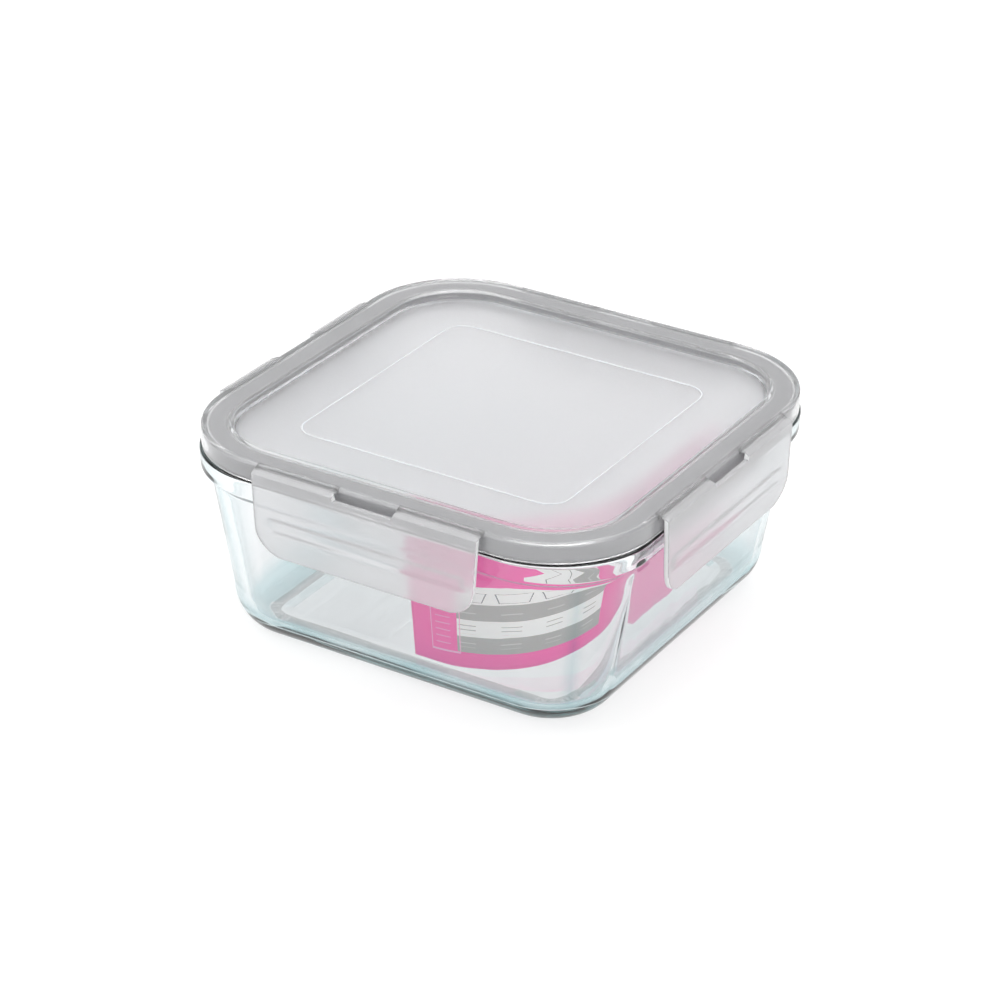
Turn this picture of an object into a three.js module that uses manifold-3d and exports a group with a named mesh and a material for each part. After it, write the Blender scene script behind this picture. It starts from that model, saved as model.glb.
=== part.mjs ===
// Square glass food storage container: pressed glass dish, clip-on polypropylene lid with four
// latches on living hinges, silicone gasket in the lid's channel and a curved card insert.
// Millimetres, +Z up, origin under the middle of the dish; the front side faces -Y.

import * as THREE from 'three';
import { mergeVertices } from 'three/addons/utils/BufferGeometryUtils.js';
import Module from 'manifold-3d';

const wasm = await Module();
wasm.setup();

// Clearances
const SEAT_GAP = 0.3;              // between pieces that rest on each other
const SLIDE_GAP = 0.3;             // between a hook and the flange that it passes
const MOUTH_GAP = 0.8;             // between the gasket's inner lip and the dish's inner wall
const GASKET_GAP = 0.3;            // to the channel's walls and roof
const HOOK_PLAY = 0.25;            // under the flange, latch shut

// Dish
const RIM_HALF = 76;               // half width over the flange
const RIM_RADIUS = 32.2;           // of the flange's corners, seen from above
const RIM_HEIGHT = 61.5;
const FLANGE_OUT = 1.8;            // beyond the wall, at the rim
const FLANGE_DEPTH = 8.3;          // height of the flange at its face
const FLANGE_UNDERSIDE = 45;       // degrees from level
const WALL_TAPER = 0.164;          // outward per millimetre of height
const WALL = 4;
const HEEL_WIDTH = 11.9;
const HEEL_HEIGHT = 14;
const BASE_RING = 3.5;             // width of the flat that the dish stands on
const BASE_RECESS = 0.6;
const FLOOR_Z = 6;                 // inside floor above the table
const FLOOR_FILLET = 5;

// Lid
const LID_INSET = 0;               // of the skirt from the flange's face
const LID_RADIUS_EXTRA = 1.6;      // of the lid's corners over the flange's
const RING_HEIGHT = 6.9;           // from the skirt's lower edge to the lid's top
const RING_TOP = 1.6;              // wall over the channel
const SKIRT = 1.8;
const PLUG = 1.3;                  // inner skirt, which drops into the dish's mouth
const PLUG_DROP = 3.2;             // below the skirt's lower edge
const PANEL = 1.5;
const PANEL_RECESS = 3.5;
const TOP_FILLET = 2.2;
const RIB_INSET = 19.8;            // raised line on the panel, from the inner skirt
const RIB_RADIUS = 7;
const RIB_WIDTH = 0.9;
const RIB_RISE = 0.35;

// Gasket
const LIP_WIDTH = 1.3;
const LIP_DEPTH = 1;
const INNER_LIP = 1.5;             // thickness of the lip inside the dish's mouth
const INNER_LIP_DROP = 2;

// Latches
const LATCH_HALF = 39.2;           // half length along the side
const LATCH_BELOW_HOOK = 8;        // flap below the hook, for the finger
const LATCH_WALL = 1.7;
const LATCH_TAPER = 0.057;         // each end, per millimetre of height
const LATCH_CORNER = 9.5;
const LATCH_CURL = 1;              // how far the part below the hook bends towards the dish
const HINGE_OUT = 1.2;             // axis beyond the lid's side
const HINGE_DROP = 1.3;            // axis below the lid's top
const FILM = 0.45;                 // thickness of the living hinge at the lid
const FILM_THIN = 0.24;            // where it bends
const FILM_GAP_IN = 0.35;          // from the hinge axis to the lid's side of the film
const FILM_GAP_OUT = 0.15;         // from the hinge axis to the latch
const SHOULDER_OUT = 0.5;          // shoulder that carries the film
const WINDOW_HALF = 10.4;
const WINDOW_DEPTH = 1.9;          // into the latch, below the hinge axis
const HOOK_DEPTH = 1.2;
const HOOK_HEIGHT = 3.5;
const HOOK_SHORT = 5.2;            // of the latch's end
const CLICK_ANGLE = 5.5;           // degrees that a latch turns in when it snaps shut

// Card insert
const CARD_HEADROOM = 5.4;         // under the lid's panel
const CARD_WALL = 0.5;
const CARD_LEAN = 0.13;            // outward per millimetre of height
const CARD_BEND = 38;
const CARD_INSET = 8;              // from the dish's inner wall, at the floor
const CARD_SIDE_INSET = 6;         // further in, along the right side
const CARD_FRONT_RUN = 5.5;          // straight stretch along the front
const CARD_SIDE_RUN = 51;          // straight stretch along the right side

// Sizes that follow
const degrees = THREE.MathUtils.degToRad;
const undersideSlope = Math.tan(degrees(FLANGE_UNDERSIDE));
const wallHalf = (z) => RIM_HALF - FLANGE_OUT - WALL_TAPER * (RIM_HEIGHT - z);
const dishCorner = RIM_HALF - RIM_RADIUS;
const heelHalf = wallHalf(HEEL_HEIGHT);
const baseHalf = heelHalf - HEEL_WIDTH;
const mouthHalf = wallHalf(RIM_HEIGHT) - WALL;
const innerFloorHalf = wallHalf(FLOOR_Z) - WALL;
const flangeFoot = RIM_HEIGHT - FLANGE_DEPTH;
const lidHalf = RIM_HALF - LID_INSET;
const lidCorner = lidHalf - RIM_RADIUS - LID_RADIUS_EXTRA;
const skirtFoot = RIM_HEIGHT + SEAT_GAP;
const lidTop = skirtFoot + RING_HEIGHT;
const innerLipOuter = mouthHalf - MOUTH_GAP;
const gasketInner = innerLipOuter - INNER_LIP;
const channelOuter = lidHalf - SKIRT;
const channelInner = gasketInner - GASKET_GAP;
const channelRoof = lidTop - RING_TOP;
const plugInner = channelInner - PLUG;
const panelTop = lidTop - PANEL_RECESS;
const panelUnderside = panelTop - PANEL;
const hingeOut = lidHalf + HINGE_OUT;
const hingeZ = lidTop - HINGE_DROP;
const hookTip = RIM_HALF + SLIDE_GAP;
// Turned in by CLICK_ANGLE, the hook's tip lies this far under the flange, against its slope.
const hookReach = (hingeZ - flangeFoot) * Math.sin(degrees(CLICK_ANGLE)) - SLIDE_GAP;
const hookTop = flangeFoot - undersideSlope * hookReach - HOOK_PLAY / Math.cos(degrees(FLANGE_UNDERSIDE));
const latchFoot = hookTop - HOOK_HEIGHT - LATCH_BELOW_HOOK;

/** Polyline whose corners [x, y, radius] are rounded by arcs; a radius is limited by its walls. */
function filleted(corners, { closed = false, steps = 4 } = {}) {
  const points = [];
  const count = corners.length;
  corners.forEach(([x, y, radius = 0], i) => {
    const here = new THREE.Vector2(x, y);
    const isEnd = !closed && (i === 0 || i === count - 1);
    if (radius === 0 || isEnd) {
      points.push(here);
      return;
    }
    const [px, py] = corners[(i + count - 1) % count];
    const [nx, ny] = corners[(i + 1) % count];
    const back = new THREE.Vector2(px - x, py - y);
    const ahead = new THREE.Vector2(nx - x, ny - y);
    const room = 0.48 * Math.min(back.length(), ahead.length());
    back.normalize();
    ahead.normalize();
    const half = Math.acos(THREE.MathUtils.clamp(back.dot(ahead), -1, 1)) / 2;
    const reach = Math.min(radius / Math.tan(half), room);
    const arcRadius = reach * Math.tan(half);
    const centre = back.clone().add(ahead).normalize();
    centre.multiplyScalar(arcRadius / Math.sin(half)).add(here);
    const start = back.multiplyScalar(reach).add(here).sub(centre);
    const end = ahead.multiplyScalar(reach).add(here).sub(centre);
    const turn = Math.sign(start.cross(end)) * (Math.PI - 2 * half);
    for (let k = 0; k <= steps; k += 1) {
      const spoke = start.clone().rotateAround(new THREE.Vector2(), (turn * k) / steps);
      points.push(spoke.add(centre));
    }
  });
  return points;
}

/** The dish's heel: a quarter of an ellipse, from the base outwards and up to the wall. */
function heelArc(steps = 7) {
  return Array.from({ length: steps + 1 }, (_, k) => {
    const angle = (k / steps) * Math.PI / 2;
    return [baseHalf + HEEL_WIDTH * Math.sin(angle), HEEL_HEIGHT * (1 - Math.cos(angle))];
  });
}

/**
 * Carries a profile of (half width, z) points round a square with rounded corners. Every corner is
 * a quarter turn about a point `corner` from the axis along X and Y. A closed profile gives a ring;
 * an open one is closed by a flat cap at its first and last point.
 */
function aroundSquare(profile, corner, { closed = false, steps = 10 } = {}) {
  const position = [];
  const index = [];
  const perRing = 4 * (steps + 1);
  profile.forEach(({ x: half, y: z }) => {
    for (let i = 0; i < perRing; i += 1) {
      const quarter = Math.floor(i / (steps + 1));
      const angle = degrees(90 * quarter + (90 / steps) * (i % (steps + 1)));
      const middle = degrees(90 * quarter + 45);
      const x = corner * Math.sign(Math.cos(middle)) + (half - corner) * Math.cos(angle);
      const y = corner * Math.sign(Math.sin(middle)) + (half - corner) * Math.sin(angle);
      position.push(x, y, z);
    }
  });
  const bands = closed ? profile.length : profile.length - 1;
  for (let j = 0; j < bands; j += 1) {
    const low = j * perRing;
    const high = ((j + 1) % profile.length) * perRing;
    for (let i = 0; i < perRing; i += 1) {
      const next = (i + 1) % perRing;
      index.push(low + i, low + next, high + next);
      index.push(low + i, high + next, high + i);
    }
  }
  if (!closed) {
    const last = (profile.length - 1) * perRing;
    const centre = position.length / 3;
    position.push(0, 0, profile[0].y, 0, 0, profile[profile.length - 1].y);
    for (let i = 0; i < perRing; i += 1) {
      const next = (i + 1) % perRing;
      index.push(centre, next, i);
      index.push(centre + 1, last + i, last + next);
    }
  }
  const geometry = new THREE.BufferGeometry();
  geometry.setAttribute('position', new THREE.Float32BufferAttribute(position, 3));
  geometry.setIndex(index);
  return geometry;
}

/** A closed outline of (outward, z) points as a bar along the front side, from x = from to x = to. */
function frontBar(corners, from, to) {
  const shape = new THREE.Shape(filleted(corners, { closed: true }));
  const bar = new THREE.ExtrudeGeometry(shape, { depth: to - from, bevelEnabled: false });
  bar.translate(0, 0, -to);
  const outward = new THREE.Vector3(0, -1, 0);
  const up = new THREE.Vector3(0, 0, 1);
  const along = new THREE.Vector3(-1, 0, 0);
  return bar.applyMatrix4(new THREE.Matrix4().makeBasis(outward, up, along));
}

/** A closed outline of (x, z) points as a plate facing the front, between two outward distances. */
function frontPlate(corners, from, to) {
  const shape = new THREE.Shape(filleted(corners, { closed: true, steps: 6 }));
  const plate = new THREE.ExtrudeGeometry(shape, { depth: to - from, bevelEnabled: false });
  plate.translate(0, 0, from);
  const along = new THREE.Vector3(1, 0, 0);
  const up = new THREE.Vector3(0, 0, 1);
  const outward = new THREE.Vector3(0, -1, 0);
  return plate.applyMatrix4(new THREE.Matrix4().makeBasis(along, up, outward));
}

/** The solid inside a closed geometry. */
function solid(geometry) {
  const bare = geometry.clone();
  bare.deleteAttribute('normal');
  bare.deleteAttribute('uv');
  const merged = mergeVertices(bare, 1e-4);
  const vertProperties = new Float32Array(merged.attributes.position.array);
  const triVerts = new Uint32Array(merged.index.array);
  return new wasm.Manifold(new wasm.Mesh({ numProp: 3, vertProperties, triVerts }));
}

/** The geometry of a solid. */
function surface(manifold) {
  const { vertProperties, triVerts } = manifold.getMesh();
  const geometry = new THREE.BufferGeometry();
  geometry.setAttribute('position', new THREE.BufferAttribute(vertProperties, 3));
  geometry.setIndex(new THREE.BufferAttribute(triVerts, 1));
  geometry.computeVertexNormals();
  return geometry;
}

const SIDES = ['front', 'right', 'back', 'left'];

/** Pressed glass dish: heel, tapered wall, deep flange and an even wall inside. */
function dishGeometry() {
  const coveFall = (RIM_HALF - wallHalf(flangeFoot)) / (1 / undersideSlope - WALL_TAPER);
  const coveZ = flangeFoot - coveFall;
  const floorEdge = innerFloorHalf - FLOOR_FILLET - 1;
  const outline = [
    [baseHalf - BASE_RING - 2 * BASE_RECESS, BASE_RECESS],
    [baseHalf - BASE_RING, 0],
    ...heelArc(),
    [wallHalf(coveZ), coveZ, 6],
    [RIM_HALF, flangeFoot, 2.4],
    [RIM_HALF, RIM_HEIGHT, 1],
    [mouthHalf, RIM_HEIGHT, 1.6],
    [innerFloorHalf, FLOOR_Z, FLOOR_FILLET],
    [floorEdge, FLOOR_Z],
  ];
  return aroundSquare(filleted(outline), dishCorner);
}

/** Solid silicone ring with two sealing lips on the rim and one lip inside the dish's mouth. */
function gasketGeometry() {
  const outer = channelOuter - GASKET_GAP;
  const top = channelRoof - GASKET_GAP;
  const seat = RIM_HEIGHT + SEAT_GAP;
  const groove = seat + LIP_DEPTH;
  const outline = [
    [gasketInner, seat - INNER_LIP_DROP, 0.4],
    [innerLipOuter, seat - INNER_LIP_DROP, 0.4],
    [innerLipOuter, seat],
    [innerLipOuter + LIP_WIDTH, seat, 0.4],
    [innerLipOuter + LIP_WIDTH + LIP_DEPTH / 2, groove],
    [outer - LIP_WIDTH - LIP_DEPTH / 2, groove],
    [outer - LIP_WIDTH, seat, 0.4],
    [outer, seat, 0.4],
    [outer, top, 0.8],
    [gasketInner, top, 0.8],
  ];
  const profile = filleted(outline, { closed: true, steps: 2 });
  return aroundSquare(profile, lidCorner, { closed: true });
}

/** Shoulder and film of one latch's living hinge, on the front side, either side of the window. */
function hingeBars() {
  const inside = lidHalf - TOP_FILLET;
  const shoulder = lidHalf + SHOULDER_OUT;
  const filmEnd = hingeOut - FILM_GAP_IN;
  const filmTop = hingeZ + FILM / 2;
  const outline = [
    [inside, channelRoof],
    [lidHalf - 0.4, hingeZ - 0.9],
    [shoulder, hingeZ - FILM / 2],
    [filmEnd, hingeZ - FILM_THIN / 2],
    [filmEnd, hingeZ + FILM_THIN / 2],
    [shoulder, filmTop],
    [shoulder - 1, filmTop + 0.3, 0.3],
    [inside, filmTop + 0.4],
  ];
  const ends = [[WINDOW_HALF, LATCH_HALF], [-LATCH_HALF, -WINDOW_HALF]];
  return ends.map(([from, to]) => solid(frontBar(outline, from, to)));
}

/** Raised line round the middle of the lid's panel. */
function panelRib() {
  const line = plugInner - RIB_INSET;
  const outline = [
    [line - RIB_WIDTH / 2, panelTop - PANEL / 2],
    [line + RIB_WIDTH / 2, panelTop - PANEL / 2],
    [line + RIB_WIDTH / 4, panelTop + RIB_RISE],
    [line - RIB_WIDTH / 4, panelTop + RIB_RISE],
  ];
  const profile = filleted(outline, { closed: true });
  return solid(aroundSquare(profile, line - RIB_RADIUS, { closed: true, steps: 5 }));
}

/** Lid moulding: recessed panel, channel ring with its two skirts, and the hinge shoulders. */
function lidGeometry() {
  const plugFoot = skirtFoot - PLUG_DROP;
  const panelEdge = plugInner - 7;
  const outline = [
    [panelEdge, panelUnderside],
    [plugInner - 0.2, panelUnderside, 1.2],
    [plugInner, plugFoot, 0.3],
    [channelInner - 0.2, plugFoot, 0.3],
    [channelInner, channelRoof, 0.5],
    [channelOuter, channelRoof, 0.5],
    [channelOuter, skirtFoot, 0.3],
    [lidHalf, skirtFoot, 0.4],
    [lidHalf, lidTop, TOP_FILLET],
    [plugInner + 0.2, lidTop, 0.8],
    [plugInner - 0.5, panelTop, 2.4],
    [panelEdge, panelTop],
  ];
  let lid = solid(aroundSquare(filleted(outline, { steps: 3 }), lidCorner)).add(panelRib());
  SIDES.forEach((_, k) => {
    hingeBars().forEach((bar) => {
      lid = lid.add(bar.rotate([0, 0, 90 * k]));
    });
  });
  return surface(lid);
}

/** One latch on the front side: flap, hook rib, window and rounded lower corners. */
function latchGeometry() {
  const inner = hookTip + HOOK_DEPTH;
  const outer = inner + LATCH_WALL;
  const root = hingeOut + FILM_GAP_OUT;
  const hookFoot = hookTop - HOOK_HEIGHT;
  const rootAndFace = [
    [root, hingeZ - FILM_THIN / 2],
    [inner, hingeZ - 0.9],
  ];
  const hook = [
    [inner, hookTop + HOOK_DEPTH * undersideSlope],
    [hookTip, hookTop, 0.2],
    [hookTip, hookTop - HOOK_HEIGHT / 5, 0.2],
  ];
  const flapAndBack = [
    [inner, hookFoot],
    [inner - LATCH_CURL, latchFoot, 0.6],
    [outer - LATCH_CURL, latchFoot, 0.6],
    [outer, hookFoot, 30],
    [outer, hingeZ - 0.6, 0.6],
    [root, hingeZ + FILM_THIN / 2],
  ];
  const hookHalf = LATCH_HALF - HOOK_SHORT;
  const flapBar = solid(frontBar([...rootAndFace, ...flapAndBack], -LATCH_HALF, LATCH_HALF));
  const hookBar = solid(frontBar([...rootAndFace, ...hook, ...flapAndBack], -hookHalf, hookHalf));
  const top = hingeZ + 1;
  const footHalf = LATCH_HALF - LATCH_TAPER * (top - latchFoot);
  const sill = hingeZ - WINDOW_DEPTH;
  const face = [
    [-footHalf, latchFoot, LATCH_CORNER],
    [footHalf, latchFoot, LATCH_CORNER],
    [LATCH_HALF, top],
    [WINDOW_HALF, top],
    [WINDOW_HALF - 0.6, sill, 1.2],
    [-WINDOW_HALF + 0.6, sill, 1.2],
    [-WINDOW_HALF, top],
    [-LATCH_HALF, top],
  ];
  const facePlate = solid(frontPlate(face, hookTip - LATCH_CURL - 1, outer + 1));
  return surface(flapBar.add(hookBar).intersect(facePlate));
}

/** Thin card, bent round the front right corner inside the dish and leaning towards its wall. */
function cardGeometry() {
  const frontLine = CARD_INSET - innerFloorHalf;
  const sideLine = innerFloorHalf - CARD_INSET - CARD_SIDE_INSET;
  const foot = FLOOR_Z + SEAT_GAP;
  const height = panelUnderside - CARD_HEADROOM - foot;
  const turn = sideLine - CARD_BEND;
  const route = new THREE.Path();
  route.moveTo(turn - CARD_FRONT_RUN, frontLine);
  route.lineTo(turn, frontLine);
  route.absarc(turn, frontLine + CARD_BEND, CARD_BEND, -Math.PI / 2, 0);
  route.lineTo(sideLine, frontLine + CARD_BEND + CARD_SIDE_RUN);
  const steps = 28;
  const points = route.getSpacedPoints(steps);
  const tangents = points.map((_, i) => route.getTangentAt(i / steps));
  const offset = (distance) => points.map((point, i) => {
    const normal = new THREE.Vector2(tangents[i].y, -tangents[i].x);
    return normal.multiplyScalar(distance).add(point);
  });
  const ring = (lean) => [...offset(lean + CARD_WALL), ...offset(lean).reverse()];
  const low = ring(0);
  const high = ring(CARD_LEAN * height);
  const count = low.length;
  const position = [];
  low.forEach(({ x, y }) => position.push(x, y, foot));
  high.forEach(({ x, y }) => position.push(x, y, foot + height));
  const index = [];
  for (let i = 0; i < count; i += 1) {
    const next = (i + 1) % count;
    index.push(i, next, count + next);
    index.push(i, count + next, count + i);
  }
  THREE.ShapeUtils.triangulateShape(low, []).forEach(([a, b, c]) => {
    index.push(c, b, a);
    index.push(count + a, count + b, count + c);
  });
  const geometry = new THREE.BufferGeometry();
  geometry.setAttribute('position', new THREE.Float32BufferAttribute(position, 3));
  geometry.setIndex(index);
  return geometry;
}

const glass = new THREE.MeshStandardMaterial({ color: 0xdff0ee, roughness: 0.03, metalness: 0 });
glass.transparent = true;
glass.opacity = 0.35;
const clearPlastic = new THREE.MeshStandardMaterial({ color: 0xe9eaec, roughness: 0.35, metalness: 0 });
const silicone = new THREE.MeshStandardMaterial({ color: 0xa3a5a8, roughness: 0.6, metalness: 0 });
const printedCard = new THREE.MeshStandardMaterial({ color: 0xf07ab4, roughness: 0.7, metalness: 0 });

const group = new THREE.Group();

function place(name, geometry, material, quarterTurns = 0) {
  const mesh = new THREE.Mesh(geometry, material);
  mesh.name = name;
  mesh.rotation.z = quarterTurns * Math.PI / 2;
  group.add(mesh);
}

place('glass_dish', dishGeometry(), glass);
place('lid', lidGeometry(), clearPlastic);
place('gasket', gasketGeometry(), silicone);
SIDES.forEach((side, k) => place(`latch_${side}`, latchGeometry(), clearPlastic, k));
place('card_insert', cardGeometry(), printedCard);

export default group;
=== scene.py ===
import math

import bmesh
import bpy
import numpy as np
from mathutils import Matrix, Vector


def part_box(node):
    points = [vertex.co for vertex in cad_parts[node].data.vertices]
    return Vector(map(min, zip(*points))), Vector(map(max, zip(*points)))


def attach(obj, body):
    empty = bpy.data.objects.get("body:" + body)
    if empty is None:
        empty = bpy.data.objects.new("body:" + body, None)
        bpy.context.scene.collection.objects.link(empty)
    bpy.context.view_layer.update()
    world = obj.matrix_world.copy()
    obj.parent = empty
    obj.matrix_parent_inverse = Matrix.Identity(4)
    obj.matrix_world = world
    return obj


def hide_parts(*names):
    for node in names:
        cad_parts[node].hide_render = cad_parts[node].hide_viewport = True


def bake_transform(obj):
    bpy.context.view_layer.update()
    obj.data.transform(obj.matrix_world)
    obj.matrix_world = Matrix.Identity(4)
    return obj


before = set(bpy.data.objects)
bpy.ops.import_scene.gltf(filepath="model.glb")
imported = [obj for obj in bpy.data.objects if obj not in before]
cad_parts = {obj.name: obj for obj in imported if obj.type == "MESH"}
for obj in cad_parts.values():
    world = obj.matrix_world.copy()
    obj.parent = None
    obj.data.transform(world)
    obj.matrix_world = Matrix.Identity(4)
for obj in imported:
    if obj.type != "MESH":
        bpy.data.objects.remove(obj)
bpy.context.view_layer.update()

# Camera
# A long lens looks down on the front right corner of the container from about a metre away, rolled
# by less than a degree. The rest of the studio is set round the container's own centre.
camera_azimuth = math.radians(31.056)
camera_elevation = math.radians(27.762)
camera_roll = math.radians(0.866)
camera_distance = 1.02705
camera_target = Vector((0, 0, 0.035))
sin_az, cos_az = math.sin(camera_azimuth), math.cos(camera_azimuth)
sin_el, cos_el = math.sin(camera_elevation), math.cos(camera_elevation)
backward = Vector((sin_az * cos_el, -cos_az * cos_el, sin_el))
rightward = Vector((cos_az, sin_az, 0))
upward = Vector((-sin_az * sin_el, cos_az * sin_el, cos_el))
camera_x = rightward * math.cos(camera_roll) + upward * math.sin(camera_roll)
camera_y = upward * math.cos(camera_roll) - rightward * math.sin(camera_roll)
camera_data = bpy.data.cameras.new("studio_camera")
camera_data.lens = 118.88
camera_data.sensor_width = 36
camera_data.shift_x = -0.00302
camera_data.shift_y = -0.00276
camera = bpy.data.objects.new("studio_camera", camera_data)
bpy.context.scene.collection.objects.link(camera)
camera.matrix_world = Matrix.Translation(camera_target + backward * camera_distance) @ Matrix(
    (camera_x, camera_y, backward)
).transposed().to_4x4()
bpy.context.scene.camera = camera


# Studio
# The floor glows white like a light table and the sky darkens towards the horizon, so that clear
# glass shows its edges. Large soft lamps stand on the left, on the right and above.
def node_tree(owner):
    """The owner's empty node tree."""
    owner.use_nodes = True
    owner.node_tree.nodes.clear()
    return owner.node_tree


bpy.context.scene.view_settings.view_transform = "Standard"
world = bpy.data.worlds.new("studio")
bpy.context.scene.world = world
sky = node_tree(world)
sky_output = sky.nodes.new("ShaderNodeOutputWorld")
sky_light = sky.nodes.new("ShaderNodeBackground")
sky_ramp = sky.nodes.new("ShaderNodeValToRGB")
sky_split = sky.nodes.new("ShaderNodeSeparateXYZ")
sky_place = sky.nodes.new("ShaderNodeTexCoord")
sky_ramp.color_ramp.elements[0].position = 0.02
sky_ramp.color_ramp.elements[0].color = (0.66, 0.68, 0.69, 1)
sky_ramp.color_ramp.elements[1].position = 0.45
sky_ramp.color_ramp.elements[1].color = (1, 1, 1, 1)
sky_light.inputs["Strength"].default_value = 0.64
sky.links.new(sky_place.outputs["Generated"], sky_split.inputs[0])
sky.links.new(sky_split.outputs["Z"], sky_ramp.inputs["Fac"])
sky.links.new(sky_ramp.outputs["Color"], sky_light.inputs["Color"])
sky.links.new(sky_light.outputs[0], sky_output.inputs["Surface"])

floor_radius, floor_sides = 3, 64
floor_angle = np.linspace(0, 2 * np.pi, floor_sides + 1)[:-1]
floor_ring = np.stack([
    floor_radius * np.cos(floor_angle), floor_radius * np.sin(floor_angle), 0 * floor_angle
], 1)
floor_mesh = bpy.data.meshes.new("floor")
floor_mesh.from_pydata(floor_ring.tolist(), [], [list(range(floor_sides))])
floor = bpy.data.objects.new("floor", floor_mesh)
bpy.context.scene.collection.objects.link(floor)
floor_paint = bpy.data.materials.new("floor_paint")
floor_tree = node_tree(floor_paint)
floor_shader = floor_tree.nodes.new("ShaderNodeBsdfPrincipled")
floor_shader.inputs["Base Color"].default_value = (0.36, 0.36, 0.36, 1)
floor_shader.inputs["Roughness"].default_value = 1
floor_shader.inputs["Specular IOR Level"].default_value = 0
floor_shader.inputs["Emission Color"].default_value = (1, 1, 1, 1)
floor_shader.inputs["Emission Strength"].default_value = 0.74
floor_output = floor_tree.nodes.new("ShaderNodeOutputMaterial")
floor_tree.links.new(floor_shader.outputs[0], floor_output.inputs["Surface"])
floor_mesh.materials.append(floor_paint)

lamps = {
    "key": ((-0.9, -0.5, 1.1), 1.1, 8),
    "fill": ((1.2, -0.9, 0.8), 0.9, 6),
    "top": ((0.1, 0.5, 1.5), 1.4, 12.5),
}
for lamp_name, (lamp_place, lamp_size, lamp_power) in lamps.items():
    lamp_data = bpy.data.lights.new(lamp_name, "AREA")
    lamp_data.size = lamp_size
    lamp_data.energy = lamp_power
    lamp = bpy.data.objects.new(lamp_name, lamp_data)
    lamp.location = lamp_place
    lamp.rotation_mode = "QUATERNION"
    lamp.rotation_quaternion = (-Vector(lamp_place)).to_track_quat("-Z", "Y")
    bpy.context.scene.collection.objects.link(lamp)

# Glass dish
# Pressed soda-lime glass in one piece: a rounded heel, a tapered wall of even thickness and a deep
# flange at the rim that the latches hook under. Slightly green where the light runs along the glass.
MM = 0.001


def rounded(corners, closed=False, steps=6, longest=2.0):
    """Outline of (across, up) points in millimetres whose corners (across, up, radius) become arcs.

    Each arc's centre lies on its corner's bisector, at radius / sin(half the corner's angle), and its
    ends lie radius / tan(half) along the two walls. Walls longer than `longest` are then divided.
    """
    table = np.array([(*corner, 0)[:3] for corner in corners], float)
    point, radius = table[:, :2], table[:, 2].copy()
    if not closed:
        radius[[0, -1]] = 0
    back = np.roll(point, 1, 0) - point
    ahead = np.roll(point, -1, 0) - point
    back_length = np.linalg.norm(back, axis=1)
    ahead_length = np.linalg.norm(ahead, axis=1)
    back /= back_length[:, None]
    ahead /= ahead_length[:, None]
    half = np.arccos(np.clip((back * ahead).sum(1), -0.9999, 0.9999)) / 2
    reach = np.minimum(radius / np.tan(half), 0.48 * np.minimum(back_length, ahead_length))
    bisector = back + ahead
    bisector /= np.linalg.norm(bisector, axis=1)[:, None]
    centre = point + bisector * (reach / np.cos(half))[:, None]
    start = point + back * reach[:, None] - centre
    end = point + ahead * reach[:, None] - centre
    side = np.sign(start[:, 0] * end[:, 1] - start[:, 1] * end[:, 0])
    angle = (side * (np.pi - 2 * half))[:, None] * np.linspace(0, 1, steps + 1)
    across = start[:, :1] * np.cos(angle) - start[:, 1:] * np.sin(angle)
    up = start[:, :1] * np.sin(angle) + start[:, 1:] * np.cos(angle)
    outline = (centre[:, None, :] + np.stack([across, up], -1)).reshape(-1, 2)
    if closed:
        outline = np.vstack([outline, outline[:1]])
    step = np.linalg.norm(np.diff(outline, axis=0), axis=1)
    outline = outline[np.r_[True, step > 1e-6]]
    along = np.r_[0, np.cumsum(np.linalg.norm(np.diff(outline, axis=0), axis=1))]
    extra = np.arange(longest, along[-1], longest)
    far = np.abs(extra[:, None] - along).min(1) > 0.3 * longest
    at = np.sort(np.r_[along, extra[far]])
    outline = np.stack([np.interp(at, along, outline[:, k]) for k in (0, 1)], 1)
    return outline[:-1] if closed else outline


def grid_faces(rows, columns, rows_closed, columns_closed):
    """Four-sided faces between neighbouring rows and columns of a grid of points."""
    r = np.arange(rows if rows_closed else rows - 1)[:, None]
    c = np.arange(columns if columns_closed else columns - 1)[None, :]
    r_next, c_next = (r + 1) % rows, (c + 1) % columns
    corner = [r * columns + c, r * columns + c_next, r_next * columns + c_next, r_next * columns + c]
    return np.stack([np.broadcast_to(k, (r.size, c.size)) for k in corner], -1).reshape(-1, 4)


def around_square(outline, corner, steps=20, straight=10):
    """Grid of points: an outline of (half width, z) carried round a square with rounded corners.

    A point sits at c + (h - corner) d, where h is its half width, c runs round a square of half width
    `corner` and d is the outward direction, which turns at c's corners. Below `corner` the same ring
    shrinks towards the axis in proportion to h.
    """
    quarter = np.arange(4)[:, None]
    turn = np.radians(90 * quarter + np.linspace(0, 90, steps + 1)[None, :])
    middle = np.radians(90 * quarter + 45)
    sign = np.stack([np.sign(np.cos(middle)), np.sign(np.sin(middle))], -1)
    centre = np.broadcast_to(corner * sign, (4, steps + 1, 2))
    direction = np.stack([np.cos(turn), np.sin(turn)], -1)
    run = np.linspace(0, 1, straight + 1)[None, 1:-1, None]
    run_centre = centre[:, -1:] * (1 - run) + np.roll(centre, -1, 0)[:, :1] * run
    run_direction = np.broadcast_to(direction[:, -1:], run_centre.shape)
    centre = np.concatenate([centre, run_centre], 1).reshape(-1, 2)
    direction = np.concatenate([direction, run_direction], 1).reshape(-1, 2)
    half = outline[:, :1]
    reached = np.maximum(half, corner + 2)
    shrink = half / reached
    ring = centre[None] + (reached - corner)[:, :, None] * direction[None]
    ring = ring * shrink[:, :, None]
    height = np.broadcast_to(outline[:, 1:, None], ring.shape[:2] + (1,))
    return np.concatenate([ring, height], -1)


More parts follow.
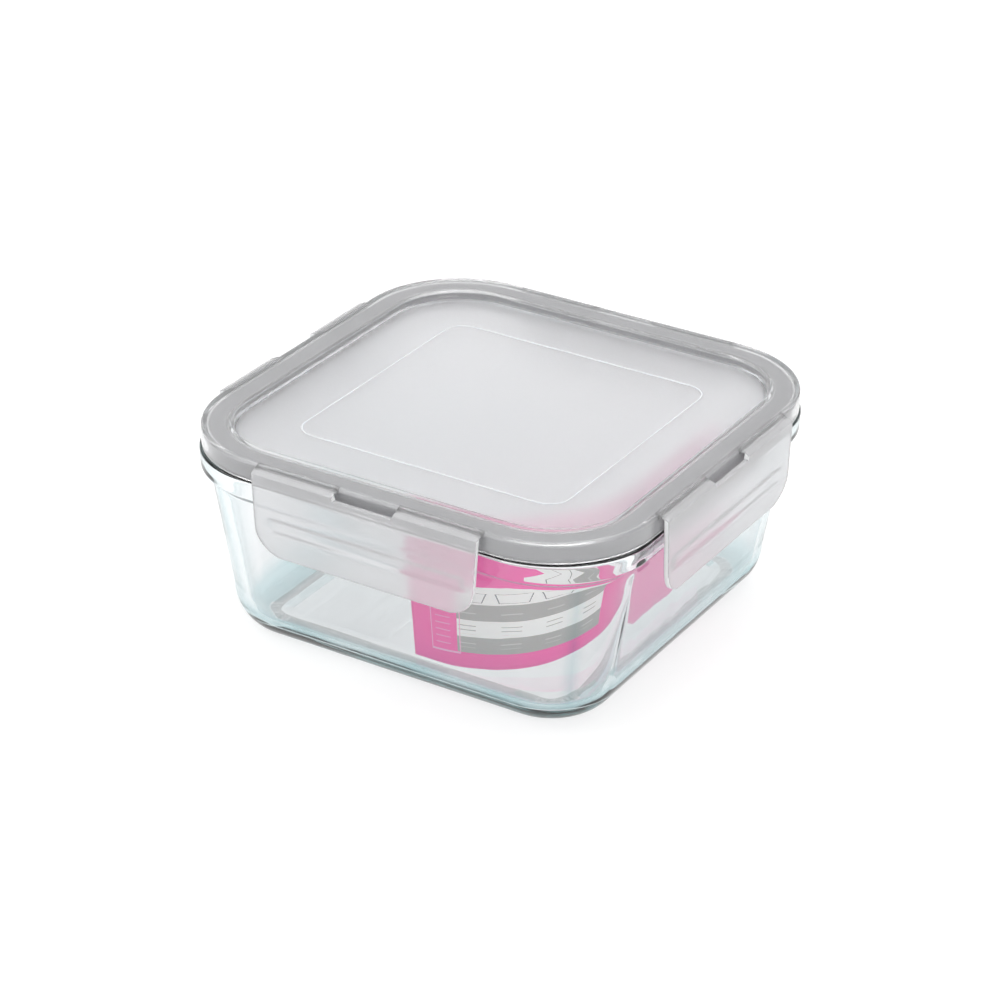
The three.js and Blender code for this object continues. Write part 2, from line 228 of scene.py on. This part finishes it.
def surface(name, points, faces, materials, smooth=True):
    """A mesh object at the origin from points in millimetres, with coincident points joined."""
    mesh = bpy.data.meshes.new(name)
    face_list = faces if isinstance(faces, list) else faces.tolist()
    mesh.from_pydata((points.reshape(-1, 3) * MM).tolist(), [], face_list)
    for material in materials:
        mesh.materials.append(material)
    mesh.polygons.foreach_set("use_smooth", [smooth] * len(mesh.polygons))
    merge_points(mesh)
    made = bpy.data.objects.new(name, mesh)
    bpy.context.scene.collection.objects.link(made)
    return made


def merge_points(mesh, distance=1e-6):
    """Joins the points of a seam or pole and drops the faces that vanish."""
    shape = bmesh.new()
    shape.from_mesh(mesh)
    bmesh.ops.remove_doubles(shape, verts=shape.verts, dist=distance)
    bmesh.ops.dissolve_degenerate(shape, edges=shape.edges, dist=distance * 0.1)
    shape.to_mesh(mesh)
    shape.free()


def closed_ring(name, outline, corner, materials, **spacing):
    """A closed outline carried round the square, as one ring."""
    points = around_square(outline, corner, **spacing)
    rows, columns = points.shape[:2]
    return surface(name, points, grid_faces(rows, columns, True, True), materials)


def dished(name, outline, corner, materials, **spacing):
    """An outline from the axis out and back to the axis, carried round the square, as one body."""
    points = around_square(outline, corner, **spacing)
    rows, columns = points.shape[:2]
    return surface(name, points, grid_faces(rows, columns, False, True), materials)


def finish(name, **sockets):
    """A material with one Principled shader; each socket is set on the shader itself."""
    material = bpy.data.materials.new(name)
    tree = node_tree(material)
    shader = tree.nodes.new("ShaderNodeBsdfPrincipled")
    output = tree.nodes.new("ShaderNodeOutputMaterial")
    tree.links.new(shader.outputs[0], output.inputs["Surface"])
    for socket, value in sockets.items():
        shader.inputs[socket.replace("_", " ")].default_value = value
    return material, tree, shader, output


def waves(tree, shader, scale, strength, distance, detail=2):
    """Noise on the piece's own coordinates that tilts the shading a little. Returns the noise."""
    place = tree.nodes.new("ShaderNodeTexCoord")
    noise = tree.nodes.new("ShaderNodeTexNoise")
    noise.inputs["Scale"].default_value = scale
    noise.inputs["Detail"].default_value = detail
    tree.links.new(place.outputs["Object"], noise.inputs["Vector"])
    bump = tree.nodes.new("ShaderNodeBump")
    bump.inputs["Strength"].default_value = strength
    bump.inputs["Distance"].default_value = distance
    tree.links.new(noise.outputs["Fac"], bump.inputs["Height"])
    tree.links.new(bump.outputs["Normal"], shader.inputs["Normal"])
    return noise


def graded(tree, value, low, high, socket):
    """Spreads a 0 to 1 value over low to high and feeds it to a socket."""
    spread = tree.nodes.new("ShaderNodeMapRange")
    spread.inputs["To Min"].default_value = low
    spread.inputs["To Max"].default_value = high
    tree.links.new(value, spread.inputs["Value"])
    tree.links.new(spread.outputs["Result"], socket)


glass, glass_tree, glass_shader, glass_output = finish(
    "pressed_glass",
    Base_Color=(1, 1, 1, 1),
    Roughness=0.01,
    IOR=1.52,
    Transmission_Weight=1,
)
glass_waves = waves(glass_tree, glass_shader, scale=34, strength=0.25, distance=0.0008)
graded(glass_tree, glass_waves.outputs["Fac"], 0.0, 0.03, glass_shader.inputs["Roughness"])
glass_tint = glass_tree.nodes.new("ShaderNodeVolumeAbsorption")
glass_tint.inputs["Color"].default_value = (0.58, 0.84, 0.84, 1)
glass_tint.inputs["Density"].default_value = 12
glass_tree.links.new(glass_tint.outputs[0], glass_output.inputs["Volume"])
glass_green = glass_tree.nodes.new("ShaderNodeAttribute")
glass_green.attribute_name = "green"
glass_patches = glass_tree.nodes.new("ShaderNodeMath")
glass_patches.operation = "MULTIPLY"
glass_patch_depth = glass_tree.nodes.new("ShaderNodeMapRange")
glass_patch_depth.inputs["From Min"].default_value = 0.35
glass_patch_depth.inputs["From Max"].default_value = 0.65
glass_patch_depth.inputs["To Min"].default_value = 0.55
glass_colour = glass_tree.nodes.new("ShaderNodeMix")
glass_colour.data_type = "RGBA"
glass_colour.inputs["A"].default_value = (0.985, 0.973, 0.978, 1)
glass_colour.inputs["B"].default_value = (0.30, 0.55, 0.59, 1)
glass_tree.links.new(glass_waves.outputs["Fac"], glass_patch_depth.inputs["Value"])
glass_tree.links.new(glass_patch_depth.outputs["Result"], glass_patches.inputs[0])
glass_tree.links.new(glass_green.outputs["Fac"], glass_patches.inputs[1])
glass_tree.links.new(glass_patches.outputs[0], glass_colour.inputs["Factor"])
# Painted shade: where the glass turns away from the view, its colour goes darker grey-teal to paint the
# dark edges of thick glass.
glass_turned = glass_tree.nodes.new("ShaderNodeLayerWeight")
glass_turned.inputs["Blend"].default_value = 0.5
glass_turned_share = glass_tree.nodes.new("ShaderNodeMapRange")
glass_turned_share.inputs["From Min"].default_value = 0.3
glass_turned_share.inputs["From Max"].default_value = 0.95
glass_painted_edge_shade = glass_tree.nodes.new("ShaderNodeMix")
glass_painted_edge_shade.data_type = "RGBA"
glass_painted_edge_shade.inputs["B"].default_value = (0.50, 0.62, 0.65, 1)
glass_tree.links.new(glass_turned.outputs["Facing"], glass_turned_share.inputs["Value"])
glass_tree.links.new(glass_turned_share.outputs["Result"], glass_painted_edge_shade.inputs["Factor"])
glass_tree.links.new(glass_colour.outputs["Result"], glass_painted_edge_shade.inputs["A"])
glass_tree.links.new(glass_painted_edge_shade.outputs["Result"], glass_shader.inputs["Base Color"])

dish_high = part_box("glass_dish")[1]
rim_half = dish_high.x / MM
rim_top = dish_high.z / MM
rim_radius = 32.2
dish_corner = rim_half - rim_radius
flange_out, flange_depth, wall_taper, wall = 1.8, 8.3, 0.164, 4.0
heel_width, heel_height = 11.9, 14.0
floor_top, floor_fillet = 6.0, 5.0
base_ring, base_recess = 3.5, 0.6


def wall_half(z):
    """Half width over the tapered outer wall at height z."""
    return rim_half - flange_out - wall_taper * (rim_top - z)


heel_half = wall_half(heel_height)
base_half = heel_half - heel_width
mouth_half = wall_half(rim_top) - wall
inner_floor_half = wall_half(floor_top) - wall
flange_foot = rim_top - flange_depth
heel_angle = np.linspace(0, np.pi / 2, 20)
heel = np.stack([
    base_half + heel_width * np.sin(heel_angle),
    heel_height * (1 - np.cos(heel_angle)),
], 1)
dish_outline = rounded([
    (0, base_recess),
    (base_half - base_ring - 4, base_recess, 2),
    (base_half - base_ring, 0, 0.8),
    *heel.tolist(),
    (wall_half(flange_foot), flange_foot, 3),
    (rim_half - 0.2, flange_foot + 2, 1.6),
    (rim_half, rim_top, 1.0),
    (mouth_half, rim_top, 1.6),
    (inner_floor_half, floor_top, floor_fillet),
    (0, floor_top),
])
dish = dished("dish_glass", dish_outline, dish_corner, [glass], steps=26, straight=12)


def spots(data, items, field):
    """One vector for each point or face of a mesh, as rows of x, y and z."""
    values = np.empty(len(getattr(data, items)) * 3)
    getattr(data, items).foreach_get(field, values)
    return values.reshape(-1, 3)


def half_width(places, corner):
    """Half width of the rounded square, with corner centres at `corner`, that passes each place."""
    reach = np.abs(places[:, :2])
    return np.where(
        (reach > corner).all(1), corner + np.linalg.norm(reach - corner, axis=1), reach.max(1)
    )


def placed(mesh, name, values):
    """Stores one number for each point of the mesh under a name that a material can read."""
    layer = mesh.attributes.new(name, "FLOAT", "POINT")
    layer.data.foreach_set("value", values.astype(np.float32))


# The glass looks greener round the heel and in a narrow strip up each corner, where light runs along it.
dish_spots = spots(dish.data, "vertices", "co") / MM
dish_half = half_width(dish_spots, dish_corner)
dish_z = dish_spots[:, 2]
heel_share = np.clip((dish_half - base_half) / heel_width, 0, 1)
heel_off = np.abs(dish_z - heel_height * (1 - np.sqrt(1 - heel_share**2)))
heel_green = (heel_off < 0.5) * (dish_half > base_half) * np.clip((heel_height - 2 - dish_z) / 6, 0, 1)
past_corner = np.maximum(np.abs(dish_spots[:, :2]) - dish_corner, 1e-6)
corner_turn = np.degrees(np.arctan2(past_corner[:, 1], past_corner[:, 0]))
in_corner = (np.abs(dish_spots[:, :2]) > dish_corner).all(1) * (dish_z > 9) * (dish_z < flange_foot - 1)
corner_green = in_corner * np.exp(-((corner_turn - 45) / 5) ** 2) * (dish_half > wall_half(dish_z) - 1)
placed(dish.data, "green", np.maximum(heel_green, 0.7 * corner_green))
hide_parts("glass_dish")
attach(dish, "dish")

# Printed card
# A stiff paper card bent round the front right corner inside the dish, leaning out against the wall.
# Offset print: pink ground, pale panels between grey bands that carry small line drawings of dishes.
card_run_front, card_bend, card_run_side = 5.5, 38.0, 51.0
card_lean, card_thick = 0.13, 0.5
card_low, card_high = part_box("card_insert")
card_foot, card_top = card_low.z / MM, card_high.z / MM
card_inset, card_side_inset = 8.0, 6.0
card_front_y = card_inset - inner_floor_half
card_turn = inner_floor_half - card_inset - card_side_inset - card_bend
card_arc = card_bend * np.pi / 2
card_length = card_run_front + card_arc + card_run_side


def card_point(along, height, depth):
    """A point of the card: straight along the front, a quarter turn, then straight along the side.

    `along` is the distance along the card's foot; the point moves outwards, across the card, by the
    lean times its height plus `depth`.
    """
    bent = np.clip(along - card_run_front, 0, card_arc) / card_bend
    out = np.stack([np.sin(bent), -np.cos(bent)], -1)
    before = np.minimum(along, card_run_front) - card_run_front
    after = np.maximum(along - card_run_front - card_arc, 0)
    x = card_turn + card_bend * out[..., 0] + before
    y = card_front_y + card_bend + card_bend * out[..., 1] + after
    shift = card_lean * (height - card_foot) + depth
    return np.stack([x + out[..., 0] * shift, y + out[..., 1] * shift, height + 0 * along], -1)


def eased(value, start, end):
    """0 before the start, 1 after the end and a smooth cubic 3t^2 - 2t^3 between them."""
    t = np.clip((value - start) / (end - start), 0, 1)
    return t * t * (3 - 2 * t)


# The foot is cut in a low arch that climbs towards the corner and drops a little on the side, and the
# print climbs with it.
card_along, card_share = np.meshgrid(
    np.linspace(0, card_length, 150), np.linspace(0, 1, 32), indexing="ij"
)
climb_start, climb_end, drop_end = 26, 62, 76
cut_level, cut_climb, cut_drop, print_climb = 7.4, 3.6, 2.0, 2.9
card_climb = eased(card_along, climb_start, climb_end)
print_rise = print_climb * card_climb
card_cut = cut_level + cut_climb * card_climb - cut_drop * eased(card_along, climb_end, drop_end)
card_height = card_cut + (card_top - card_cut) * card_share
card_out = card_point(card_along, card_height, card_thick)
card_in = card_point(card_along, card_height, 0.0)
card_points = np.concatenate([card_out, card_in[:, ::-1]], 1)
rows, columns = card_points.shape[:2]
card_faces = grid_faces(rows, columns, False, True)
first_end = np.arange(columns // 2 - 1)
end_strip = np.stack([first_end, columns - 1 - first_end, columns - 2 - first_end, first_end + 1], 1)
far_strip = (end_strip + (rows - 1) * columns)[:, ::-1]
card_faces = np.vstack([card_faces, end_strip, far_strip])[:, ::-1]
card_u = np.concatenate([card_along, card_along[:, ::-1]], 1).reshape(-1)
card_print = card_height - print_rise
card_v = np.concatenate([card_print, card_print[:, ::-1]], 1).reshape(-1)
card_side = np.concatenate([card_along * 0 + 1, card_along * 0], 1).reshape(-1)
card = surface("card", card_points, card_faces, [])


placed(card.data, "along", card_u)
placed(card.data, "height", card_v)
placed(card.data, "printed", card_side)

# The card also glows faintly in its own print colour: painted light that brightens the paper.
card_paint, card_tree, card_shader, _ = finish(
    "card_print", Roughness=0.45, Specular_IOR_Level=0.35, Emission_Strength=0.23
)


def read(name):
    """The stored number of that name at the shaded point."""
    node = card_tree.nodes.new("ShaderNodeAttribute")
    node.attribute_name = name
    return node.outputs["Fac"]


def work(operation, a, b=0.0):
    """One sum, product or comparison of two numbers or sockets."""
    node = card_tree.nodes.new("ShaderNodeMath")
    node.operation = operation
    for socket, value in zip(node.inputs, (a, b)):
        if isinstance(value, (int, float)):
            socket.default_value = value
        else:
            card_tree.links.new(value, socket)
    return node.outputs[0]


def between(value, low, high):
    """1 where the value lies between low and high, otherwise 0."""
    return work("MULTIPLY", work("GREATER_THAN", value, low), work("LESS_THAN", value, high))


def both(a, b):
    """1 where both are 1."""
    return work("MULTIPLY", a, b)


def paint(under, mask, colour):
    """Lays a flat ink over what is printed so far, where the mask is 1."""
    node = card_tree.nodes.new("ShaderNodeMix")
    node.data_type = "RGBA"
    card_tree.links.new(mask, node.inputs["Factor"])
    if isinstance(under, tuple):
        node.inputs["A"].default_value = under
    else:
        card_tree.links.new(under, node.inputs["A"])
    node.inputs["B"].default_value = colour
    return node.outputs["Result"]


pink, paper = (1.0, 0.13, 0.46, 1), (0.95, 0.94, 0.92, 1)
grey_ink, line_ink = (0.44, 0.43, 0.42, 1), (0.22, 0.23, 0.25, 1)
along, height = read("along"), read("height")
# The printed panel: grey, pale, grey and pale bands, from the foot up, inside a pink border.
panel_start, panel_end = 14.5, 59.5
grey_low, pale_low, grey_high, pale_high, panel_top_edge = 13.1, 19.0, 25.2, 31.2, 37.6
panel = both(between(along, panel_start, panel_end), between(height, grey_low, panel_top_edge))
print_colour = paint(pink, panel, paper)
print_colour = paint(print_colour, both(panel, between(height, grey_high, pale_high)), grey_ink)
print_colour = paint(print_colour, both(panel, between(height, grey_low, pale_low)), grey_ink)

# Small dishes drawn in line on the upper pale band: flat rim, sides that slope in to the foot.
cell_width, dish_level = 12.0, 33.6
cell = work("ABSOLUTE", work("SUBTRACT", work("MODULO", along, cell_width), cell_width / 2))
dish_up = work("SUBTRACT", height, dish_level)
dish_side = work("DIVIDE", cell, work("ADD", 4.3, work("MULTIPLY", dish_up, 0.35)))
dish_edge = work("MAXIMUM", dish_side, work("DIVIDE", work("ABSOLUTE", dish_up), 1.7))
drawn = both(between(dish_edge, 0.94, 1.02), between(along, panel_start, 48.0))
print_colour = paint(print_colour, drawn, line_ink)

# Short dashes stand for the rows of print, pale on the grey bands and grey on the pale one.
dark_dash, faint_dash = (0.5, 0.5, 0.5, 1), (0.62, 0.61, 0.6, 1)
dash_across = between(work("MODULO", along, cell_width), 3.0, 8.0)
dash = both(panel, both(dash_across, between(work("MODULO", height, 1.6), 0.5, 0.85)))
for band_foot, band_top, band_inset, dash_ink in (
    (pale_low, grey_high, 1, dark_dash),
    (grey_high, pale_high, 2, faint_dash),
    (grey_low, pale_low, 2, faint_dash),
):
    in_band = between(height, band_foot + band_inset, band_top - band_inset)
    print_colour = paint(print_colour, both(dash, in_band), dash_ink)

# A thin pale box with short rows on the pink end.
box_wide = work("DIVIDE", work("ABSOLUTE", work("SUBTRACT", along, 11.0)), 4.4)
box_tall = work("DIVIDE", work("ABSOLUTE", work("SUBTRACT", height, 24.0)), 11.5)
box_edge = work("MAXIMUM", box_wide, box_tall)
print_colour = paint(print_colour, between(box_edge, 0.96, 1.02), (0.97, 0.5, 0.72, 1))
row = between(work("MODULO", height, 2.4), 0.8, 1.15)
end_rows = both(both(between(along, 8.0, 12.5), between(height, 14.0, 34.0)), row)
print_colour = paint(print_colour, end_rows, (0.96, 0.42, 0.67, 1))
print_colour = paint(print_colour, work("LESS_THAN", read("printed"), 0.5), (0.9, 0.6, 0.74, 1))
fibre = waves(card_tree, card_shader, scale=900, strength=0.12, distance=0.0003, detail=4)
fibre_mix = card_tree.nodes.new("ShaderNodeMix")
fibre_mix.data_type = "RGBA"
fibre_mix.blend_type = "MULTIPLY"
fibre_mix.inputs["Factor"].default_value = 0.1
card_tree.links.new(print_colour, fibre_mix.inputs["A"])
card_tree.links.new(fibre.outputs["Color"], fibre_mix.inputs["B"])
card_tree.links.new(fibre_mix.outputs["Result"], card_shader.inputs["Base Color"])
# The print colour also feeds the card's glow, a painted light.
card_tree.links.new(fibre_mix.outputs["Result"], card_shader.inputs["Emission Color"])
card.data.materials.append(card_paint)
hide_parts("card_insert")
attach(card, "dish")

# Gasket
# A solid ring of grey silicone, moulded and pushed into the lid's channel. Two lips press on the
# dish's rim and one reaches down inside its mouth.
silicone, silicone_tree, silicone_shader, _ = finish(
    "grey_silicone", Roughness=0.55, Specular_IOR_Level=0.4
)
silicone_grain = waves(silicone_tree, silicone_shader, scale=420, strength=0.15, distance=0.0002)
silicone_mix = silicone_tree.nodes.new("ShaderNodeMix")
silicone_mix.data_type = "RGBA"
silicone_mix.inputs["A"].default_value = (0.30, 0.30, 0.315, 1)
silicone_mix.inputs["B"].default_value = (0.35, 0.35, 0.365, 1)
silicone_tree.links.new(silicone_grain.outputs["Fac"], silicone_mix.inputs["Factor"])
silicone_tree.links.new(silicone_mix.outputs["Result"], silicone_shader.inputs["Base Color"])

seat_gap, ring_height, ring_top, skirt, plug = 0.3, 6.9, 1.6, 1.8, 1.3
mouth_gap, inner_lip, gasket_gap = 0.8, 1.5, 0.3
lid_corner = rim_half - rim_radius - 1.6
skirt_foot = rim_top + seat_gap
lid_top = skirt_foot + ring_height
inner_lip_outer = mouth_half - mouth_gap
gasket_inner = inner_lip_outer - inner_lip
channel_outer = rim_half - skirt
channel_inner = gasket_inner - gasket_gap
channel_roof = lid_top - ring_top
gasket_outer = channel_outer - gasket_gap
gasket_top = channel_roof - gasket_gap
lip_width, lip_depth = 1.3, 1.0
gasket_outline = rounded([
    (gasket_inner, skirt_foot - 2, 0.4),
    (inner_lip_outer, skirt_foot - 2, 0.4),
    (inner_lip_outer, skirt_foot, 0.2),
    (inner_lip_outer + lip_width, skirt_foot, 0.4),
    (inner_lip_outer + lip_width + lip_depth / 2, skirt_foot + lip_depth, 0.3),
    (gasket_outer - lip_width - lip_depth / 2, skirt_foot + lip_depth, 0.3),
    (gasket_outer - lip_width, skirt_foot, 0.4),
    (gasket_outer, skirt_foot, 0.4),
    (gasket_outer, gasket_top, 0.8),
    (gasket_inner, gasket_top, 0.8),
], closed=True, steps=4)
gasket = closed_ring("gasket_ring", gasket_outline, lid_corner, [silicone])
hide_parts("gasket")
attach(gasket, "lid")

# Lid
# One polypropylene moulding: a polished clear ring with a channel for the gasket, and a sunken
# panel with a fine frosted texture and one raised line. The hinge shoulders stand on its sides.
clear, clear_tree, clear_shader, _ = finish(
    "clear_polypropylene",
    Base_Color=(0.95, 0.952, 0.96, 1),
    Roughness=0.08,
    IOR=1.49,
    Transmission_Weight=0.84,
)
clear_waves = waves(clear_tree, clear_shader, scale=60, strength=0.15, distance=0.0004)
graded(clear_tree, clear_waves.outputs["Fac"], 0.04, 0.12, clear_shader.inputs["Roughness"])
frosted, frosted_tree, frosted_shader, _ = finish(
    "frosted_polypropylene",
    Base_Color=(0.95, 0.95, 0.965, 1),
    Roughness=0.42,
    IOR=1.49,
    Transmission_Weight=0.8,
)
frosted_grain = waves(frosted_tree, frosted_shader, scale=1400, strength=0.2, distance=0.0002)
graded(frosted_tree, frosted_grain.outputs["Fac"], 0.42, 0.56, frosted_shader.inputs["Roughness"])

plug_drop, panel_recess, panel_thick, rib_inset, frost_margin = 3.2, 3.5, 1.5, 19.8, 0.9
plug_inner = channel_inner - plug
plug_foot = skirt_foot - plug_drop
panel_top = lid_top - panel_recess
panel_under = panel_top - panel_thick
rib_line = plug_inner - rib_inset
lid_outline = rounded([
    (0, panel_under),
    (plug_inner - 0.2, panel_under, 1.2),
    (plug_inner, plug_foot, 0.3),
    (channel_inner - 0.2, plug_foot, 0.3),
    (channel_inner, channel_roof, 0.5),
    (channel_outer, channel_roof, 0.5),
    (channel_outer, skirt_foot, 0.3),
    (rim_half, skirt_foot, 0.4),
    (rim_half, lid_top, 1.0),
    (plug_inner + 0.2, lid_top, 0.8),
    (plug_inner - 0.5, panel_top, 2.4),
    (0, panel_top),
], steps=6)
lid = dished("lid_moulding", lid_outline, lid_corner, [clear, frosted], steps=24, straight=12)
face_half = half_width(spots(lid.data, "polygons", "center") / MM, lid_corner)
lid.data.polygons.foreach_set("material_index", (face_half < plug_inner - frost_margin).astype(int))
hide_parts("lid")
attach(lid, "lid")

rib_foot_half, rib_crest_half, rib_sunk, rib_rise, rib_radius = 0.45, 0.2, 0.05, 0.18, 7
rib_outline = rounded([
    (rib_line - rib_foot_half, panel_top - rib_sunk),
    (rib_line + rib_foot_half, panel_top - rib_sunk),
    (rib_line + rib_crest_half, panel_top + rib_rise, 0.1),
    (rib_line - rib_crest_half, panel_top + rib_rise, 0.1),
], closed=True, steps=4)
rib_gloss, rib_tree, rib_shader, _ = finish(
    "polished_line",
    Base_Color=(0.84, 0.84, 0.85, 1),
    Roughness=0.35,
    Subsurface_Weight=0.2,
)
waves(rib_tree, rib_shader, scale=120, strength=0.1, distance=0.0002)
rib = closed_ring(
    "lid_raised_line", rib_outline, rib_line - rib_radius, [rib_gloss], steps=10, straight=10
)
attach(rib, "lid")

# Hinge shoulders
# Short polypropylene bars on the lid's four sides, part of the same moulding. They stand either side
# of each latch's window and carry the thin film of its hinge.
hinge_out, hinge_z = rim_half + 1.2, lid_top - 1.3
latch_half, window_half = 39.2, 10.4
film_in, film_out = 0.35, 0.15
film_thick, film_thin = 0.45, 0.24
shoulder_out = rim_half + 0.5
QUARTER_TURNS = {"front": 0, "right": 1, "back": 2, "left": 3}


def turned(points, quarters):
    """Points made for the front side, turned about the vertical axis by quarter turns."""
    angle = quarters * np.pi / 2
    turn = np.array([[np.cos(angle), -np.sin(angle), 0], [np.sin(angle), np.cos(angle), 0], [0, 0, 1]])
    return points @ turn.T


def bar(name, outline, start, end, quarters, material):
    """A closed outline of (outward, z) carried straight along the side, with flat ends."""
    count = len(outline)
    along = np.linspace(start, end, 12)
    points = np.zeros((along.size, count, 3))
    points[..., 0] = along[:, None]
    points[..., 1] = -outline[None, :, 0]
    points[..., 2] = outline[None, :, 1]
    faces = grid_faces(along.size, count, False, True)
    ends = [list(range(count))[::-1], list(range((along.size - 1) * count, along.size * count))]
    made = surface(name, turned(points, quarters), [*faces.tolist(), *ends], [material])
    fix_outward(made)
    return made


def fix_outward(made):
    """Turns the faces of a closed piece outwards."""
    shape = bmesh.new()
    shape.from_mesh(made.data)
    bmesh.ops.recalc_face_normals(shape, faces=shape.faces)
    shape.to_mesh(made.data)
    shape.free()


shoulder_outline = rounded([
    (rim_half - 1.4, channel_roof + 0.3),
    (rim_half - 0.4, hinge_z - 0.9, 0.2),
    (shoulder_out, hinge_z - film_thick / 2, 0.1),
    (shoulder_out, hinge_z + film_thick / 2, 0.1),
    (shoulder_out - 1.0, hinge_z + film_thick / 2 + 0.3, 0.3),
    (rim_half - 1.4, hinge_z + film_thick / 2 + 0.36),
], closed=True, steps=4, longest=1.0)
for side, quarters in QUARTER_TURNS.items():
    for end_name, start, end in (("a", -latch_half, -window_half), ("b", window_half, latch_half)):
        shoulder = bar(f"hinge_shoulder_{side}_{end_name}", shoulder_outline, start, end, quarters, clear)
        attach(shoulder, "lid")

# Latches
# Flaps of milky polypropylene on living hinges, one on each side. Each has a window at the hinge,
# a hook rib inside and rounded lower corners. They hang beside the flange, ready to press shut.
milky, milky_tree, milky_shader, _ = finish(
    "milky_polypropylene",
    Base_Color=(0.88, 0.882, 0.893, 1),
    Roughness=0.22,
    IOR=1.4,
    Transmission_Weight=0.66,
)
milky_waves = waves(milky_tree, milky_shader, scale=35, strength=0.2, distance=0.0005)
graded(milky_tree, milky_waves.outputs["Fac"], 0.16, 0.28, milky_shader.inputs["Roughness"])
hook_depth, latch_wall, latch_curl, edge_round = 1.2, 1.7, 1.0, 0.4
latch_inner = rim_half + 0.3 + hook_depth
latch_outer = latch_inner + latch_wall
latch_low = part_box("latch_front")[0]
latch_foot = latch_low.z / MM
hook_rise, hook_height, window_depth = 8.0, 3.5, 1.9
hook_foot = latch_foot + hook_rise
hook_top = hook_foot + hook_height
latch_top = hinge_z + film_thin / 2
sill = hinge_z - window_depth
# Where the moulding's edges catch the light they look whiter than its faces.
white_edge, edge_tree, edge_shader, _ = finish(
    "polypropylene_edge",
    Base_Color=(0.97, 0.975, 0.98, 1),
    Roughness=0.3,
    IOR=1.49,
    Transmission_Weight=0.25,
)
waves(edge_tree, edge_shader, scale=90, strength=0.1, distance=0.0003)


def clustered(ends, fine, step):
    """Distances between the given ends, set closer together near each of them."""
    near = np.array([0, 0.05, 0.15, 0.3, 0.5, 0.8, 1.2, 2.0]) * fine
    spots = [np.arange(ends[0], ends[-1], step)]
    spots += [np.clip(end + side * near, ends[0], ends[-1]) for end in ends for side in (-1, 1)]
    return np.unique(np.round(np.concatenate(spots), 4))


def half_length(z):
    """Half the flap's length at height z: a slow taper, less the quarter circle of a lower corner."""
    corner_radius = 9.5
    lower = np.clip(latch_foot + corner_radius - z, 0, corner_radius)
    return latch_half - 0.057 * (hinge_z + 1 - z) - corner_radius + np.sqrt(corner_radius**2 - lower**2)


def flap_grid():
    """Outer and inner faces of a flap over (share of its length, share of its height).

    The height of the top edge drops to the sill in the window. Each face is a height field over the
    flap's outline; near the rim both draw in by a quarter circle, which rounds the edge. The hook is
    a ramp on the inner face that stops short of the ends.
    """
    share = clustered([-1, -window_half / latch_half, window_half / latch_half, 1], 0.02, 0.03)
    rise = clustered([0, 0.28, 0.42, 0.93, 1], 0.02, 0.03)
    s, v = np.meshgrid(share, rise, indexing="ij")
    into_window = np.clip((window_half - np.abs(s) * latch_half) / 0.6 + 0.5, 0, 1)
    top = latch_top - (latch_top - sill) * into_window
    z = latch_foot + v * (top - latch_foot)
    x = s * half_length(z)
    from_edge = np.minimum(
        np.minimum((1 - np.abs(s)) * latch_half, v * (latch_top - latch_foot)), (1 - v) * 27
    )
    near = np.clip(edge_round - from_edge, 0, edge_round)
    drawn_in = edge_round - np.sqrt(np.maximum(edge_round**2 - near**2, 0))
    curl = latch_curl * np.clip((hook_foot - z) / (hook_foot - latch_foot), 0, 1) ** 1.6
    slope = np.clip((z - (hinge_z - 0.7)) / (latch_top - hinge_z + 0.7), 0, 1)
    outer = latch_outer - curl - slope * (latch_outer - hinge_out - film_out) - drawn_in
    hook = np.interp(z, [hook_foot - 0.01, hook_top - 2.6, hook_top, hook_top + hook_depth], [0, 1, 1, 0])
    hook = hook * np.clip((latch_half - 5.2 - np.abs(x)) / 0.8, 0, 1) * hook_depth
    lean_in = np.clip((z - (hinge_z - 0.9)) / (latch_top - hinge_z + 0.9), 0, 1)
    drawn_out = drawn_in * (hook < 0.01)
    inner = latch_inner - curl - hook - lean_in * (latch_inner - hinge_out - film_out) + drawn_out
    inner = np.minimum(inner, outer - 0.02)
    return x, z, outer, inner


flap_x, flap_z, flap_outer, flap_inner = flap_grid()
flap_rows, flap_columns = flap_x.shape
outer_points = np.stack([flap_x, -flap_outer, flap_z], -1)
inner_points = np.stack([flap_x, -flap_inner, flap_z], -1)
flap_points = np.concatenate([outer_points.reshape(-1, 3), inner_points.reshape(-1, 3)])
sheet = grid_faces(flap_rows, flap_columns, False, False)
cells = flap_rows * flap_columns
index = np.arange(cells).reshape(flap_rows, flap_columns)
rim_path = np.concatenate([index[:, 0], index[-1, 1:], index[-2::-1, -1], index[0, -2:0:-1]])
rim_next = np.roll(rim_path, -1)
rim_faces = np.stack([rim_path, rim_next, rim_next + cells, rim_path + cells], 1)
flap_faces = np.vstack([sheet, sheet[:, ::-1] + cells, rim_faces])
film_outline = np.array([
    (shoulder_out - 0.15, hinge_z + film_thick / 2), (hinge_out - film_in, hinge_z + film_thin / 2),
    (hinge_out, hinge_z + film_thin / 2), (hinge_out + film_out + 0.1, hinge_z + film_thin / 2 - 0.04),
    (hinge_out + film_out + 0.1, hinge_z - film_thin / 2), (hinge_out, hinge_z - film_thin / 2),
    (hinge_out - film_in, hinge_z - film_thin / 2), (shoulder_out - 0.15, hinge_z - film_thick / 2),
])
for side, quarters in QUARTER_TURNS.items():
    flap = surface(f"latch_flap_{side}", turned(flap_points, quarters), flap_faces, [milky, white_edge])
    fix_outward(flap)
    normals = turned(spots(flap.data, "polygons", "normal"), -quarters)
    on_edge = (np.abs(normals[:, 1]) < 0.55) & (normals[:, 2] < 0.4)
    flap.data.polygons.foreach_set("material_index", on_edge.astype(int))
    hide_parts(f"latch_{side}")
    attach(flap, f"latch_{side}")
    film_half = latch_half - 0.3
    for end_name, start, end in (("a", -film_half, -window_half), ("b", window_half, film_half)):
        film = bar(f"hinge_film_{side}_{end_name}", film_outline, start, end, quarters, milky)
        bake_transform(film)
